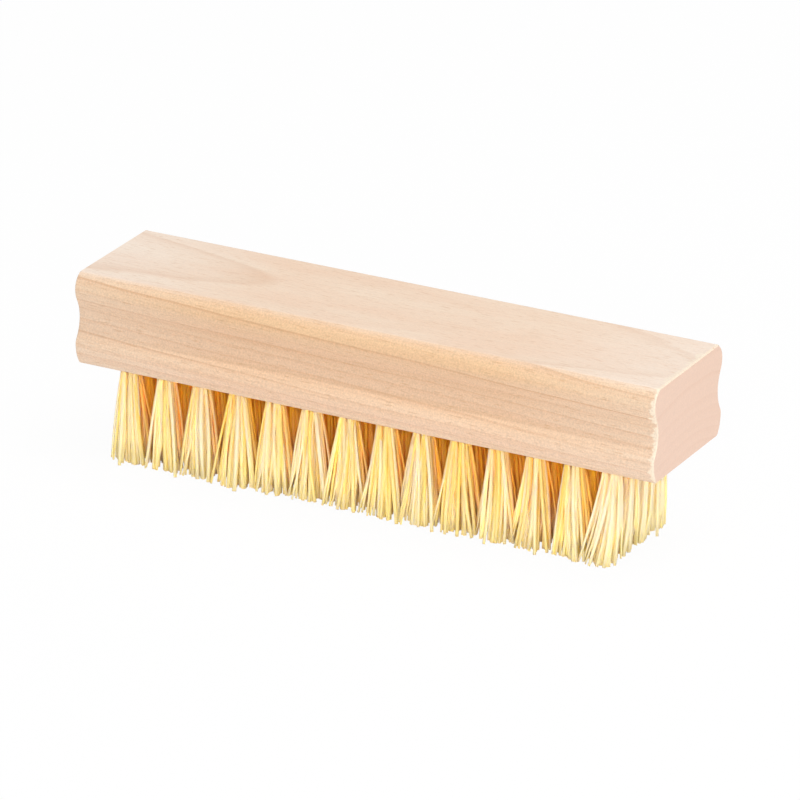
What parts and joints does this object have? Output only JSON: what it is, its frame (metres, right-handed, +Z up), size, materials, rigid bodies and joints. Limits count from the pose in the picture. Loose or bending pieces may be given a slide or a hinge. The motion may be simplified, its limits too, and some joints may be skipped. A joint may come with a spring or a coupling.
{
  "type": "scrub brush",
  "caption": "Hand scrub brush: oblong moulded wooden block with grooved long sides, set underneath with rows of pale plant-fibre tufts that fan out to a level trim.",
  "frame": {"origin": "middle of the outline, at the level of the fibre tips", "axes": "+X along the block towards the end with the wider bare margin, +Y across the rows towards the back, +Z up from the tips to the flat top of the block"},
  "size_m": [0.12, 0.0286, 0.0373],
  "materials": {
    "pale_wood": "bare, fine sanded",
    "plant_fibre": "dull, undyed fibre",
    "anchor_wire": "drawn flat wire"
  },
  "bodies": {
    "root": {"wood_block": "pale_wood", "tuft_row1_01": "plant_fibre", "tuft_row1_02": "plant_fibre", "tuft_row1_03": "plant_fibre", "tuft_row1_04": "plant_fibre", "tuft_row1_05": "plant_fibre", "tuft_row1_06": "plant_fibre", "tuft_row1_07": "plant_fibre", "tuft_row1_08": "plant_fibre", "tuft_row1_09": "plant_fibre", "tuft_row1_10": "plant_fibre", "tuft_row1_11": "plant_fibre", "tuft_row1_12": "plant_fibre", "tuft_row1_13": "plant_fibre", "tuft_row1_14": "plant_fibre", "tuft_row2_01": "plant_fibre", "tuft_row2_02": "plant_fibre", "tuft_row2_03": "plant_fibre", "tuft_row2_04": "plant_fibre", "tuft_row2_05": "plant_fibre", "tuft_row2_06": "plant_fibre", "tuft_row2_07": "plant_fibre", "tuft_row2_08": "plant_fibre", "tuft_row2_09": "plant_fibre", "tuft_row2_10": "plant_fibre", "tuft_row2_11": "plant_fibre", "tuft_row2_12": "plant_fibre", "tuft_row2_13": "plant_fibre", "tuft_row2_14": "plant_fibre", "tuft_row3_01": "plant_fibre", "tuft_row3_02": "plant_fibre", "tuft_row3_03": "plant_fibre", "tuft_row3_04": "plant_fibre", "tuft_row3_05": "plant_fibre", "tuft_row3_06": "plant_fibre", "tuft_row3_07": "plant_fibre", "tuft_row3_08": "plant_fibre", "tuft_row3_09": "plant_fibre", "tuft_row3_10": "plant_fibre", "tuft_row3_11": "plant_fibre", "tuft_row3_12": "plant_fibre", "tuft_row3_13": "plant_fibre", "tuft_row3_14": "plant_fibre", "tuft_row4_01": "plant_fibre", "tuft_row4_02": "plant_fibre", "tuft_row4_03": "plant_fibre", "tuft_row4_04": "plant_fibre", "tuft_row4_05": "plant_fibre", "tuft_row4_06": "plant_fibre", "tuft_row4_07": "plant_fibre", "tuft_row4_08": "plant_fibre", "tuft_row4_09": "plant_fibre", "tuft_row4_10": "plant_fibre", "tuft_row4_11": "plant_fibre", "tuft_row4_12": "plant_fibre", "tuft_row4_13": "plant_fibre", "tuft_row4_14": "plant_fibre", "tuft_anchors": "anchor_wire"}
  },
  "joints": []
}
